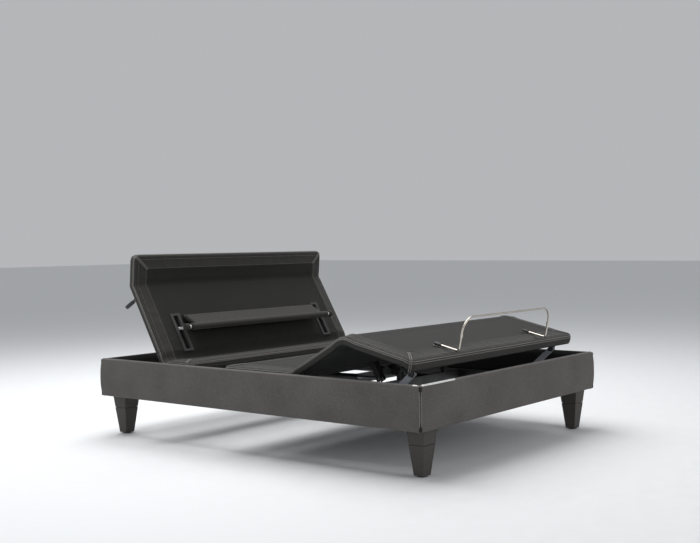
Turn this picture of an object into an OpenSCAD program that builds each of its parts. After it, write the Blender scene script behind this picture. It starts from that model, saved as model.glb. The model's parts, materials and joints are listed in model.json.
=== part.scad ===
// Adjustable bed base, queen size: upholstered box rails on tapered legs around a steel
// frame, with a sliding head section, a pillow tilt, a lumbar support and a thigh and foot
// section. Millimetres, +Z up, origin on the floor under the middle of the rails, +X across
// the width, head end at +Y. The part is drawn with the sections raised.

/* [Rails] */
// Width across the outer faces of the side rails
bed_w = 1524; // [1360:1:1980]
// Length across the outer faces of the head and foot rails
bed_l = 2032; // [1960:1:2440]
// Height of the upholstered rails
rail_h = 190; // [175:1:240]
// Thickness of an upholstered rail
rail_t = 30; // [24:1:36]
// Rounding of the rails' long edges
rail_round = 8; // [4:1:10]

/* [Legs] */
// Height of a leg, from the floor to the rails
leg_h = 200; // [120:1:260]
// Side of the leg at its top
leg_top = 94; // [80:1:110]
// Side of the leg at its foot
leg_foot = 50; // [36:1:60]
// Height of the upper leg block, above the shadow gap
riser_h = 64; // [40:1:80]
// Distance from a side rail's outer face to the leg
leg_inset_x = 57; // [57:1:90]
// Distance from an end rail's outer face to the leg
leg_inset_y = 25; // [20:1:60]

/* [Deck] */
// Gap between the deck sections and a side rail
deck_gap = 32; // [31:1:45]
// Height of the deck's top face above the rails
deck_rise = 10; // [6:1:30]
// Gap between the flat pillow section and the head rail
head_gap = 14; // [10:1:30]
// Gap between the flat foot section and the foot rail
foot_gap = 20; // [20:1:40]
// Thickness of a deck board
board_t = 15; // [12:1:18]
// Thickness of the padding on a board
pad_t = 25; // [15:1:30]
// Length of the seat section, between the thigh hinge and its head edge
seat_l = 430; // [380:1:435]
// Distance from the middle of the bed to the thigh hinge, towards the foot
thigh_hinge_y = 250; // [240:1:280]
// Length of the thigh section between its hinges
thigh_l = 342; // [290:1:342]
// Length of the bridge section, from its front edge to the back hinge
bridge_l = 174; // [150:1:178]
// Length of the back section between its hinges
back_l = 450; // [420:1:455]
// Rounding of the deck sections' outer corners
deck_corner_r = 34; // [10:1:45]

/* [Motion] */
// Angle of the raised back section above the deck
back_angle = 59.5; // [50:0.5:62]
// Angle of the raised pillow section beyond the back section
pillow_angle = 34.6; // [20:0.1:40]
// Angle of the raised thigh section above the deck
thigh_angle = 29.5; // [20:0.5:36]
// Angle between the thigh and foot sections at the knee
knee_angle = 42; // [30:0.5:46]
// Travel of the head carriage as the back section rises
head_travel = 240; // [200:1:240]
// Distance from the middle of the bed to the raised back hinge, towards the head
back_hinge_y = 604; // [590:1:620]

/* [Steel frame] */
// Height of the frame tubes
tube_h = 50; // [40:1:60]
// Width of the frame tubes
tube_w = 25; // [20:1:30]
// Wall of the frame tubes
tube_wall = 2.5; // [1.5:0.5:4]
// Gap between the frame and the rails
rail_gap = 3; // [1:0.5:6]
// Height of the frame's underside above the rails' underside
frame_rise = 6; // [4:1:12]
// Radius of the bolt holes for a headboard bracket
headboard_hole_r = 4.5; // [3:0.5:6]
// Spacing of the two bolt holes for a headboard bracket
headboard_hole_gap = 60; // [40:1:80]
// Distance from the middle of the bed to a headboard bracket's holes
headboard_x = 560; // [480:1:600]

/* [Lumbar support] */
// Distance along the back section from its hinge to the lumbar hinge
lumbar_s = 238; // [220:1:260]
// Length of the lumbar flap, from its hinge to the bar
lumbar_l = 105; // [100:1:120]
// Angle of the raised lumbar flap above the back section
lumbar_angle = 33; // [27:1:36]
// Radius of the padded lumbar bar
lumbar_bar_r = 18; // [16:1:24]
// Distance from the middle of the bed to a lumbar slot
slot_x = 528; // [512:1:536]
// Length of a lumbar slot
slot_l = 190; // [170:1:200]
// Width of a lumbar slot
slot_w = 30; // [24:1:34]
// Width of a slot's bezel
bezel_w = 64; // [56:1:70]

/* [Mattress retainer] */
// Distance from the middle of the bed to a retainer socket
retainer_x = 380; // [340:1:440]
// Height of the retainer loop above the deck
retainer_h = 150; // [120:1:180]
// Radius of the retainer wire
wire_r = 4.5; // [4:0.5:6]
// Radius of the retainer's upper bends
loop_r = 70; // [40:1:75]
// Distance from the foot section's end to a retainer socket
socket_back = 90; // [90:1:150]

/* [Fits] */
// Radial running clearance of hinge pins in their knuckles
pin_gap = 0.05; // [0.01:0.01:0.1]
// Side clearance between moving plates
side_gap = 2; // [1:0.5:4]
// Radial gap round a pin where a linkage is left open
open_gap = 4.5; // [4:0.5:6]
// Radius of the hinge pins
pin_r = 4; // [3:0.5:5]

/* [Hidden] */
$fn = 48;

half_w = bed_w / 2;
half_l = bed_l / 2;
rail_in_x = half_w - rail_t;
rail_in_y = half_l - rail_t;
deck_half = rail_in_x - deck_gap;
deck_top = leg_h + rail_h + deck_rise;
foot_l = rail_in_y - foot_gap - thigh_hinge_y - thigh_l;
pillow_l = rail_in_y - head_gap - (back_hinge_y - head_travel) - back_l;
frame_z = leg_h + frame_rise;
frame_top = frame_z + tube_h;
frame_out_x = rail_in_x - rail_gap;
frame_out_y = rail_in_y - rail_gap;
frame_in_x = frame_out_x - tube_w;
hinge_z = deck_top - pad_t;             // hinge pins of the seat and back, at the boards' top
board_low = hinge_z - board_t;
seat_head_y = seat_l - thigh_hinge_y;
soft_gap = 1;                           // between a pad and what it does not touch
valley_thigh = pad_t * tan(thigh_angle / 2) + soft_gap;
valley_back = pad_t * tan(back_angle / 2) + soft_gap;
valley_pillow = pad_t * tan(pillow_angle / 2) + soft_gap;
board_end = 9;                          // from a hinge axis to the ends of the boards
cross_head_y = 150;                     // middles of the cross tubes
cross_foot_y = -200;
cross_lift_y = 705;
post = 30;                              // side of a square post
channel_h = 40;                         // slide channel: height, depth and wall
channel_w = 28;
channel_wall = 3;
channel_z = board_low - channel_h - 10;
channel_front = seat_head_y + 10;
channel_back = back_hinge_y + 46;
motor_r = 16;                           // outer tube of a linear motor
rod_r = 9;
motor_gap = 0.5;                        // radial gap between a motor's rod and its tube
motor_z = hinge_z - 70;
head_motor_x = 180;
foot_motor_x = -180;
carriage_y = back_hinge_y - 84;         // cross tube of the head carriage
carriage_tube = 30;
crank_s = 60;                           // rod pin on the thigh crank: along and below the hinge
crank_d = 105;
link_s = 320;                           // link pin on the foot section: along and below the knee
link_d = 50;
link_z = frame_z + 39;                  // fixed pin of the foot links
link_x = deck_half - 100;
lift_y = back_hinge_y + 56;             // torque tube of the lift arms
lift_z = frame_z + 24;
lift_x = 450;
lift_len = 180;
roller_r = 15;
roller_gap = 1;                         // between a roller and the back board
tilt_s = 150;                           // pins of the tilt motor along the back and pillow
tilt_e = 50;
tilt_d = 60;
slot_low = 60;                          // lower end of a lumbar slot along the back section
lumbar_h = pad_t + 12;                  // lumbar hinge above the back hinge's plane
slider_h = 20;                          // strut's end pin above the back hinge's plane
bar_s = lumbar_s - lumbar_l * cos(lumbar_angle);
bar_h = lumbar_h + lumbar_l * sin(lumbar_angle);
strut_len = 80;
strut_s = bar_s + sqrt(strut_len * strut_len - (bar_h - slider_h) * (bar_h - slider_h));
// A point (y, z) turned about the X axis
function turn(p, a) = [p[0] * cos(a) - p[1] * sin(a), p[0] * sin(a) + p[1] * cos(a)];
// The foot links' upper pins, with the foot section raised and flat, and their fixed pins,
// as far from the one as from the other
thigh_axis = [-thigh_hinge_y, hinge_z];
knee_step = [-thigh_l, -board_t];
link_step = [-link_s, -link_d];
link_up = thigh_axis + turn(knee_step, -thigh_angle) + turn(link_step, knee_angle - thigh_angle);
link_flat = thigh_axis + knee_step + link_step;
link_mid = (link_up + link_flat) / 2;
link_move = link_up - link_flat;
link_y = link_mid[0] + (link_mid[1] - link_z) * link_move[1] / link_move[0];
link_run = link_up - [link_y, link_z];
cross_link_y = link_y + 42;
link_len = norm(link_run);
// The lift arms' angle, at which a roller is just clear of the raised back board
back_axis = [back_hinge_y, hinge_z];
roller_drop = board_t + roller_r + roller_gap;
lift_to_board = turn([lift_y, lift_z] - back_axis, -back_angle)[1];
lift_angle = back_angle + asin((-roller_drop - lift_to_board) / lift_len);
fabric = [0.27, 0.265, 0.26];
deck_grey = [0.33, 0.325, 0.32];
black = [0.09, 0.09, 0.09];
steel = [0.75, 0.76, 0.78];

// A block between two corners
module block(low, high) translate(low) cube(high - low);
// The children and their mirror image on the other side of the bed
module both() { children(); mirror([1, 0, 0]) children(); }
// A round bar and a tube along X, centred on the origin
module bar_x(r, l) rotate([0, 90, 0]) cylinder(r = r, h = l, center = true);
module tube_x(r, bore, l) difference() { bar_x(r, l); bar_x(bore, l + 2); }

// The moving sections' own frames: Y along the section, Z out of its face
module at_back() translate([0, back_hinge_y, hinge_z]) rotate([back_angle, 0, 0]) children();
module at_pillow() at_back() translate([0, back_l, 0]) rotate([pillow_angle, 0, 0]) children();
module at_thigh() translate([0, -thigh_hinge_y, hinge_z]) rotate([-thigh_angle, 0, 0]) children();
module at_foot() at_thigh() translate([0, -thigh_l, -board_t]) rotate([knee_angle, 0, 0]) children();

// A flat slab whose outer corners on one end, or on neither, are rounded
module slab(y0, y1, z0, z1, x = deck_half, round_low = false, round_high = false) {
    translate([0, 0, z0]) linear_extrude(z1 - z0) difference() {
        translate([-x, y0]) square([2 * x, y1 - y0]);
        if (round_low) for (m = [0, 1]) mirror([m, 0]) corner_cut(x, y0, 0);
        if (round_high) for (m = [0, 1]) mirror([m, 0]) corner_cut(x, y1, 1);
    }
}
module corner_cut(x, y, up) translate([x, y]) mirror([0, up]) difference() {
    translate([-deck_corner_r, -1]) square(deck_corner_r + 1);
    translate([-deck_corner_r, deck_corner_r]) circle(deck_corner_r);
}

// Rails -----------------------------------------------------------------------------------
module rail_section() {
    inner = rail_t - rail_round;
    translate([0, leg_h]) square([inner, rail_h]);
    for (z = [leg_h + rail_round, leg_h + rail_h - rail_round]) translate([inner, z]) circle(rail_round);
    translate([inner - 0.01, leg_h + rail_round]) square([rail_round, rail_h - 2 * rail_round]);
}
module rail(l) rotate([90, 0, 0]) translate([0, 0, -l / 2]) linear_extrude(l) rail_section();
module side_rail_left() color(fabric) mirror([1, 0, 0]) translate([rail_in_x, 0, 0]) rail(bed_l);
module side_rail_right() color(fabric) translate([rail_in_x, 0, 0]) rail(bed_l);
module head_rail() color(fabric) translate([0, rail_in_y, 0]) rotate([0, 0, 90]) rail(2 * rail_in_x);
module foot_rail() color(fabric) translate([0, -rail_in_y, 0]) rotate([0, 0, -90]) rail(2 * rail_in_x);
// A bright strip along the top of the foot rail at its left end
module rail_corner_trim() color(steel)
    translate([-rail_in_x + 4, -half_l + rail_round + 3, leg_h + rail_h]) cube([226, 6, 2]);

// Legs ------------------------------------------------------------------------------------
leg_x = half_w - leg_inset_x - leg_top / 2;
leg_y = half_l - leg_inset_y - leg_top / 2;
bolt_r = 6;                              // leg bolts
bracket_t = frame_rise;                 // corner bracket, between a leg and the frame
reveal = 3;                             // height of the shadow gap between the leg's blocks
glide_t = 5;
leg_joint = leg_foot + (leg_top - leg_foot) * (1 - riser_h / leg_h);
module at_legs() for (i = [-1, 1], j = [-1, 1]) translate([i * leg_x, j * leg_y, 0]) children();
module taper(low, high, h) linear_extrude(h, scale = high / low) square(low, center = true);
module leg_risers() color(fabric) at_legs() difference() {
    union() {
        translate([0, 0, leg_h - riser_h]) taper(leg_joint, leg_top, riser_h);
        translate([0, 0, leg_h - riser_h - reveal]) taper(leg_joint - 8, leg_joint - 8, reveal);
    }
    translate([0, 0, leg_h - riser_h - reveal - 1]) cylinder(r = bolt_r + pin_gap, h = riser_h + reveal + 2);
}
module legs() color(fabric) at_legs() difference() {
    translate([0, 0, glide_t]) taper(leg_foot, leg_joint, leg_h - riser_h - reveal - glide_t);
    translate([0, 0, leg_h - riser_h - reveal - 30]) cylinder(r = bolt_r + pin_gap, h = 31);
}
module leg_glides() color(black) at_legs() cylinder(r = leg_foot / 2 - 4, h = glide_t);
module leg_bolts() color(steel) at_legs() {
    translate([0, 0, leg_h - riser_h - reveal - 28])
        cylinder(r = bolt_r, h = riser_h + reveal + 28 + bracket_t);
    translate([0, 0, leg_h + bracket_t]) cylinder(r = 11, h = 8, $fn = 6);
}
module corner_brackets() color(black) for (i = [0, 1], j = [0, 1]) mirror([i, 0, 0]) mirror([0, j, 0])
    difference() {
        block([leg_x - 50, leg_y - 50, leg_h], [frame_out_x, frame_out_y, frame_z]);
        translate([leg_x, leg_y, leg_h - 1]) cylinder(r = bolt_r + pin_gap, h = bracket_t + 2);
    }

// Steel frame -----------------------------------------------------------------------------
module tube_y(x0, x1, y0, y1, z0, z1) difference() {
    block([x0, y0, z0], [x1, y1, z1]);
    block([x0 + tube_wall, y0 - 1, z0 + tube_wall], [x1 - tube_wall, y1 + 1, z1 - tube_wall]);
}
module tube_cross(x, y0, y1, z0, z1) difference() {
    block([-x, y0, z0], [x, y1, z1]);
    block([-x - 1, y0 + tube_wall, z0 + tube_wall], [x + 1, y1 - tube_wall, z1 - tube_wall]);
}
module frame_side() tube_y(frame_in_x, frame_out_x, -frame_out_y, frame_out_y, frame_z, frame_top);
module frame_side_left() color(black) mirror([1, 0, 0]) frame_side();
module frame_side_right() color(black) frame_side();
module frame_head_tube() color(black) difference() {
    tube_cross(frame_in_x, frame_out_y - tube_w, frame_out_y, frame_z, frame_top);
    both() for (d = [-0.5, 0.5])
        translate([headboard_x + d * headboard_hole_gap, frame_out_y + 1, frame_z + tube_h / 2])
            rotate([90, 0, 0]) cylinder(r = headboard_hole_r, h = tube_w + 2);
}
module frame_foot_tube() color(black)
    tube_cross(frame_in_x, -frame_out_y, -frame_out_y + tube_w, frame_z, frame_top);
module frame_cross(y) color(black)
    tube_cross(frame_in_x, y - tube_w / 2, y + tube_w / 2, frame_z, frame_top);
module seat_cross_tubes() for (y = [cross_head_y, cross_foot_y]) frame_cross(y);
// A bearing block for a bar along X, on the side of a cross tube
module bearing(y0, y1, z0, z1, y, z, r) color(black) difference() {
    block([-6, y0, z0], [6, y1, z1]);
    translate([0, y, z]) bar_x(r + pin_gap, 14);
}
torque_r = 12;
module lift_cross_tube() frame_cross(cross_lift_y);
module link_cross_tube() frame_cross(cross_link_y);
// Bearing blocks of the lift arms' torque tube and ears of the foot links' fixed pins
module pivot_bearings() {
    for (x = [-lift_x - 40, 0, lift_x + 40]) translate([x, 0, 0])
        bearing(lift_y - torque_r - 6, cross_lift_y - tube_w / 2, lift_z - torque_r - 6,
            lift_z + torque_r + 6, lift_y, lift_z, torque_r);
    both() for (d = [-11, 11]) translate([link_x + d, 0, 0]) color(black) difference() {
        block([-3, link_y - 14, link_z - 14], [3, cross_link_y - tube_w / 2, link_z + 11]);
        translate([0, link_y, link_z]) bar_x(pin_r + pin_gap, 8);
    }
}
module channel() difference() {
    block([frame_in_x - channel_w, channel_front, channel_z],
        [frame_in_x, channel_back, channel_z + channel_h]);
    block([frame_in_x - channel_w - 1, channel_front - 1, channel_z + channel_wall],
        [frame_in_x - channel_wall, channel_back + 1, channel_z + channel_h - channel_wall]);
}
module slide_channels() color(steel) both() channel();
module support_posts() color(black) both() {
    for (y = [cross_head_y, cross_foot_y])
        block([560, y - tube_w / 2, frame_top], [560 + post, y + tube_w / 2, board_low]);
    for (y = [channel_front + 20, channel_back - 50])
        block([frame_in_x, y, frame_top], [frame_out_x, y + post, channel_z + channel_h]);
}

// Head carriage ---------------------------------------------------------------------------
bridge_y = back_hinge_y - bridge_l;     // front edge of the bridge section
shoe_gap = 0.3;
shoe_in_x = frame_in_x - channel_w;
module carriage_frame() color(black) difference() {
    union() {
        both() block([shoe_in_x - 3 - tube_w, bridge_y + 12, board_low - carriage_tube],
            [shoe_in_x - 3, back_hinge_y - 4, board_low]);
        block([-shoe_in_x + 3 + tube_w, carriage_y - carriage_tube / 2, board_low - carriage_tube],
            [shoe_in_x - 3 - tube_w, carriage_y + carriage_tube / 2, board_low]);
        for (d = [-15, 15]) block([head_motor_x + d - 3, carriage_y - 14, motor_z - 14],
            [head_motor_x + d + 3, carriage_y + 14, board_low - carriage_tube]);
    }
    translate([head_motor_x, carriage_y, motor_z]) bar_x(pin_r + pin_gap, 40);
    for (y = [bridge_y + 30, back_hinge_y - 30]) both()
        translate([shoe_in_x - 30, y, channel_z + channel_h / 2 + 8]) bar_x(3, 70);
}
module carriage_shoes() color([0.85, 0.85, 0.83]) both() for (y = [bridge_y + 30, back_hinge_y - 30]) {
    block([shoe_in_x + 1, y - 20, channel_z + channel_wall + shoe_gap],
        [frame_in_x - channel_wall - shoe_gap, y + 20,
            channel_z + channel_h - channel_wall - shoe_gap]);
    translate([shoe_in_x - 14, y, channel_z + channel_h / 2 + 8]) bar_x(3, 34);
}
motor_pin_y = cross_foot_y;
motor_bore = 60;                        // from a motor's pin to the end of its bore
head_shell = carriage_y - head_travel - 25 - 30 - motor_pin_y;
module head_motor_rod() color(steel) {
    translate([head_motor_x, carriage_y, motor_z]) bar_x(pin_r, 38);
    translate([head_motor_x, carriage_y, motor_z]) tube_x(10, pin_r, 22);
    translate([head_motor_x, carriage_y - 9.5, motor_z]) rotate([90, 0, 0])
        cylinder(r = rod_r, h = carriage_y - head_travel - 14.5 - motor_pin_y - motor_bore);
}
module motor_shell(l) difference() {
    // A linear motor along Y from its own pin at the origin: tube, gear case and end fork
    union() {
        translate([0, 30, 0]) rotate([-90, 0, 0]) cylinder(r = motor_r, h = l);
        block([-26, 12, -24], [26, 78, 26]);
        translate([-58, 45, 0]) rotate([0, 90, 0]) cylinder(r = 24, h = 60);
        block([-9, -12, -11], [9, 20, 11]);
    }
    translate([0, motor_bore, 0]) rotate([-90, 0, 0]) cylinder(r = rod_r + motor_gap, h = l);
    bar_x(pin_r + pin_gap, 60);
}
module motor_stand(x, y) {
    // Two ears on a cross tube with the motor's pin
    for (d = [-14, 14]) difference() {
        block([x + d - 3, y - tube_w / 2, frame_top], [x + d + 3, y + tube_w / 2, motor_z + 12]);
        translate([x + d, y, motor_z]) bar_x(pin_r, 10);
    }
    translate([x, y, motor_z]) bar_x(pin_r, 40);
}
module head_motor() color(black) {
    translate([head_motor_x, motor_pin_y, motor_z]) motor_shell(head_shell);
    motor_stand(head_motor_x, motor_pin_y);
}

// Deck boards and pads --------------------------------------------------------------------
module seat_board() color(black) slab(-thigh_hinge_y + board_end, seat_head_y, board_low, hinge_z);
module seat_pad() color(deck_grey) slab(-thigh_hinge_y + valley_thigh, seat_head_y, hinge_z, deck_top);
module bridge_board() color(black) slab(bridge_y, back_hinge_y - board_end, board_low, hinge_z);
module bridge_pad() color(deck_grey) slab(bridge_y, back_hinge_y - valley_back, hinge_z, deck_top);
module back_board() color(black) at_back() slab(board_end, back_l - board_end, -board_t, 0);
module back_pad() color(deck_grey) at_back() difference() {
    slab(valley_back, back_l - valley_pillow, 0, pad_t);
    both() block([slot_x - slot_w / 2, slot_low, -1], [slot_x + slot_w / 2, slot_low + slot_l, pad_t + 1]);
}
module pillow_board() color(black) at_pillow() slab(board_end, pillow_l, -board_t, 0, round_high = true);
module pillow_pad() color(deck_grey) at_pillow()
    slab(valley_pillow, pillow_l, 0, pad_t, round_high = true);
module thigh_board() color(black) at_thigh() slab(-thigh_l + board_end, -board_end, -board_t, 0);
module thigh_pad() color(deck_grey) at_thigh() slab(-thigh_l + soft_gap, -valley_thigh, 0, pad_t);
module foot_board() color(black) at_foot() slab(-foot_l, -board_end, 0, board_t, round_low = true);
module foot_pad() color(deck_grey) at_foot() difference() {
    slab(-foot_l, -soft_gap, board_t, board_t + pad_t, round_low = true);
    both() socket_cut();
}

// Lift arms -------------------------------------------------------------------------------
module lift_arms() color(steel) {
    translate([0, lift_y, lift_z]) bar_x(torque_r, 2 * lift_x + 110);
    both() translate([lift_x, lift_y, lift_z]) rotate([lift_angle, 0, 0]) for (d = [-12, 12])
        translate([d, 0, 0]) difference() {
            block([-3, torque_r - 2, -11], [3, lift_len + 10, 11]);
            translate([0, lift_len, 0]) bar_x(5 + pin_gap, 8);
        }
}
module lift_rollers() color([0.85, 0.85, 0.83]) both() translate([lift_x, lift_y, lift_z])
    rotate([lift_angle, 0, 0]) translate([0, lift_len, 0]) {
        bar_x(roller_r, 16);
        bar_x(5, 34);
    }

// Behind the back section -----------------------------------------------------------------
stop_s = back_l - 68;                   // pegs behind the back section's edges
stop_len = 92;
module rear_stops() color(black) at_back() both() translate([deck_half - 12, stop_s, -board_t]) {
    translate([0, 0, 8 - stop_len]) cylinder(r = 7, h = stop_len - 8);
    translate([0, 0, -stop_len]) cylinder(r1 = 7, r2 = 10, h = 12);
    translate([0, 0, -4]) cylinder(r = 11, h = 4);
}
tilt_pin = [tilt_s, -tilt_d];
tilt_end = [back_l, 0] + turn([tilt_e, -tilt_d], pillow_angle);
tilt_run = tilt_end - tilt_pin;
tilt_rise = atan2(tilt_run[1], tilt_run[0]);
module ears(r, drop, d) difference() {
    // Two ears that reach from a board's underside at z = drop down to a pin at the origin
    for (i = [-1, 1]) block([i * d - 3, -12, -12], [i * d + 3, 12, drop]);
    bar_x(r, 2 * d + 10);
}
module back_brackets() color(black) at_back() translate([0, tilt_s, -tilt_d]) {
    ears(pin_r, tilt_d - board_t, 14);
    bar_x(pin_r, 40);
}
module tilt_motor() color(black) at_back() translate([0, tilt_s, -tilt_d]) rotate([tilt_rise, 0, 0])
    difference() {
        union() {
            translate([0, 20, 0]) rotate([-90, 0, 0]) cylinder(r = 13, h = 220);
            block([-20, 16, -19], [20, 62, 19]);
            block([-9, -11, -10], [9, 20, 10]);
        }
        translate([0, 50, 0]) rotate([-90, 0, 0]) cylinder(r = 7 + motor_gap, h = 200);
        bar_x(pin_r + pin_gap, 40);
    }
module tilt_motor_rod() color(steel) at_back() translate([0, tilt_s, -tilt_d])
    rotate([tilt_rise, 0, 0]) translate([0, norm(tilt_run), 0]) {
        rotate([90, 0, 0]) translate([0, 0, 8]) cylinder(r = 7, h = norm(tilt_run) - 100);
        bar_x(9, 20);
        bar_x(pin_r, 36);
    }

// Lumbar support --------------------------------------------------------------------------
bezel_rim = 12;                         // bezel beyond the slot's ends
module lumbar_slots() color(black) {
    // A bezel on the face of the pad and two guide strips in each slot, and the hinge lugs
    at_back() both() {
        difference() {
            block([slot_x - bezel_w / 2, slot_low - bezel_rim, pad_t],
                [slot_x + bezel_w / 2, slot_low + slot_l + bezel_rim, pad_t + 4]);
            block([slot_x - slot_w / 2, slot_low, pad_t - 1],
                [slot_x + slot_w / 2, slot_low + slot_l, pad_t + 5]);
        }
        for (i = [-1, 1]) block([slot_x + i * (slot_w / 2 - 1.5) - 1.5, slot_low, 0],
            [slot_x + i * (slot_w / 2 - 1.5) + 1.5, slot_low + slot_l, pad_t]);
    }
    lumbar_lugs();
}
strut_room = 8;                         // from a strut's middle to the padded bar beside it
bar_end = slot_x + bezel_w / 2;         // half the length of the padded bar
bar_end_l = bezel_w / 2 - strut_room;
flap_half = slot_x - bezel_w / 2 - 20;
flap_t = 16;
lug_t = 8;
lug_x = flap_half + 4 + lug_t / 2;
bar_pin_r = 6;                          // the bar's end pins, on which the struts turn
module lumbar_lugs() at_back() both() difference() {
    block([lug_x - lug_t / 2, lumbar_s - 8, pad_t], [lug_x + lug_t / 2, lumbar_s + 8, lumbar_h + 7]);
    translate([lug_x, lumbar_s, lumbar_h]) bar_x(pin_r + pin_gap, lug_t + 2);
}
module at_lumbar() at_back() translate([0, lumbar_s, lumbar_h]) rotate([-lumbar_angle, 0, 0]) children();
module lumbar_flap() color(deck_grey) at_lumbar() {
    // The padded flap, which wraps the bar, and the hinge rod along its top
    difference() {
        block([-flap_half, -lumbar_l + 4, -flap_t / 2], [flap_half, 0, flap_t / 2]);
        translate([0, -lumbar_l, 0]) bar_x(lumbar_bar_r, 2 * flap_half + 2);
    }
    bar_x(flap_t / 2, 2 * flap_half);
    bar_x(pin_r, 2 * (lug_x + lug_t / 2 + 2));
}
module lumbar_bar() color(black) at_lumbar() translate([0, -lumbar_l, 0]) {
    // The padded bar, its end pieces and the pins between them, on which the struts turn
    bar_x(lumbar_bar_r, 2 * (slot_x - strut_room));
    bar_x(bar_pin_r, 2 * slot_x + 40);
    both() translate([bar_end - bar_end_l / 2, 0, 0]) bar_x(lumbar_bar_r, bar_end_l);
}
strut_rise = atan2(slider_h - bar_h, strut_s - bar_s);
module lumbar_struts() color(steel) at_back() both() translate([slot_x, bar_s, bar_h])
    rotate([strut_rise, 0, 0]) {
        rotate([90, 0, 90]) linear_extrude(6, center = true) difference() {
            union() {
                translate([0, -7]) square([strut_len, 14]);
                circle(11);
            }
            circle(bar_pin_r + pin_gap);
        }
        translate([0, strut_len, 0]) bar_x(8, 18);
    }

// Section hinges --------------------------------------------------------------------------
knuckle_r = 7;
knuckle_l = 30;
knuckle_gap = 1;
leaf_t = 3;
leaf_l = 60;
hinge_x = [-480, 0, 480];
// A leaf under a board that lies towards +Y of the axis, drop below the axis
module leaf(l, drop) {
    bar_x(knuckle_r, l);
    block([-l / 2, 0, -drop - leaf_t], [l / 2, board_end - 0.5, 0]);
    block([-l / 2, board_end - 1, -drop - leaf_t], [l / 2, leaf_l, -drop]);
}
module pin_side(drop) for (x = hinge_x) translate([x, 0, 0]) {
    // The fixed half of a hinge: two knuckles and the pin through all three
    for (i = [-1, 1]) translate([i * (knuckle_l + knuckle_gap), 0, 0]) leaf(knuckle_l, drop);
    bar_x(pin_r, 3 * knuckle_l + 8);
}
module bore_side(drop) for (x = hinge_x) translate([x, 0, 0]) difference() {
    leaf(knuckle_l - knuckle_gap, drop);
    bar_x(pin_r + pin_gap, knuckle_l + 2);
}
module towards_foot() rotate([0, 0, 180]) children();
module seat_hinges() color(steel) translate([0, -thigh_hinge_y, hinge_z]) pin_side(board_t);
module bridge_hinges() color(steel) translate([0, back_hinge_y, hinge_z]) towards_foot() pin_side(board_t);
module back_hinges() color(steel) at_back() {
    bore_side(board_t);
    translate([0, back_l, 0]) towards_foot() pin_side(board_t);
}
horn_x = 14;                            // from the tilt motor's rod end to an ear of the horn
module pillow_hinges() color(steel) at_pillow() {
    bore_side(board_t);
    translate([0, tilt_e, -tilt_d]) ears(pin_r + open_gap, tilt_d - board_t, horn_x);
}
module thigh_hinges() color(steel) at_thigh() {
    towards_foot() bore_side(board_t);
    translate([0, -thigh_l, -board_t]) pin_side(0);
}
module foot_hinges() color(steel) at_foot() {
    towards_foot() bore_side(0);
    // Brackets under the foot board for the links' upper pins
    both() translate([link_x, -link_s, -link_d]) ears(pin_r + pin_gap, link_d, 8 + side_gap);
}

// Foot links and motors -------------------------------------------------------------------
link_rise = atan2(link_run[1], link_run[0]);
module foot_links() color([0.55, 0.58, 0.62]) both() translate([link_x, link_y, link_z])
    rotate([link_rise, 0, 0]) {
        block([-5, -14, -14], [5, link_len + 14, 14]);
        bar_x(pin_r, 30);
        translate([0, link_len, 0]) bar_x(9, 13);
    }
module thigh_crank() color(black) at_thigh() difference() {
    for (d = [-14, 14]) block([foot_motor_x + d - 3, -crank_s - 16, -crank_d - 14],
        [foot_motor_x + d + 3, -crank_s + 16, -board_t]);
    translate([foot_motor_x, -crank_s, -crank_d]) bar_x(pin_r + open_gap, 40);
}
foot_pin = [cross_head_y, motor_z];
crank_pin = thigh_axis + turn([-crank_s, -crank_d], -thigh_angle);
foot_run = crank_pin - foot_pin;
foot_rise = atan2(foot_run[1], foot_run[0]);
module foot_motor() color(black) translate([foot_motor_x, foot_pin[0], foot_pin[1]])
    rotate([foot_rise, 0, 0]) motor_shell(330);
module foot_motor_rod() color(steel) translate([foot_motor_x, foot_pin[0], foot_pin[1]])
    rotate([foot_rise, 0, 0]) translate([0, norm(foot_run), 0]) {
        rotate([90, 0, 0]) translate([0, 0, 6]) cylinder(r = rod_r, h = norm(foot_run) - 160);
        bar_x(11, 20);
        bar_x(pin_r, 38);
    }

// Mattress retainer -----------------------------------------------------------------------
socket_y = -foot_l + socket_back;
socket_r = 8;
wire_z = board_t + pad_t + socket_r + 1;
overhang = 14;                          // how far the loop stands beyond the foot section
module socket_cut() translate([retainer_x, socket_y, board_t]) block([-12, -10, -1], [12, 26, pad_t + 1]);
module at_wire() translate([0, 0, wire_z]) children();
module retainer_sockets() color(steel) at_foot() both() translate([retainer_x, socket_y, 0]) {
    block([-11, -9, board_t], [11, 25, wire_z - socket_r + 1]);
    translate([0, 25, wire_z]) rotate([90, 0, 0]) difference() {
        cylinder(r = socket_r, h = 34);
        translate([0, 0, 4]) cylinder(r = wire_r + pin_gap, h = 31);
    }
}
low_bend = 14;
loop_y = -foot_l - overhang;
module wire(l) cylinder(r = wire_r, h = l);
module bend(r, a) rotate_extrude(angle = a) translate([r, 0]) circle(wire_r);
module retainer_half() translate([retainer_x, 0, 0]) {
    translate([0, loop_y + low_bend, 0]) rotate([-90, 0, 0]) wire(socket_y + 16 - loop_y - low_bend);
    translate([0, loop_y + low_bend, low_bend]) rotate([0, 90, 0]) mirror([0, 1, 0]) bend(low_bend, 90);
    translate([0, loop_y, low_bend]) wire(retainer_h - low_bend - loop_r);
    translate([0, loop_y, 60]) cylinder(r = wire_r + 2, h = 16);
    translate([-loop_r, loop_y, retainer_h - loop_r]) rotate([90, 0, 0]) bend(loop_r, 90);
    translate([-retainer_x, loop_y, retainer_h]) rotate([0, 90, 0]) wire(retainer_x - loop_r);
}
module retainer_bar() color(steel) at_foot() at_wire() both() retainer_half();

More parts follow.
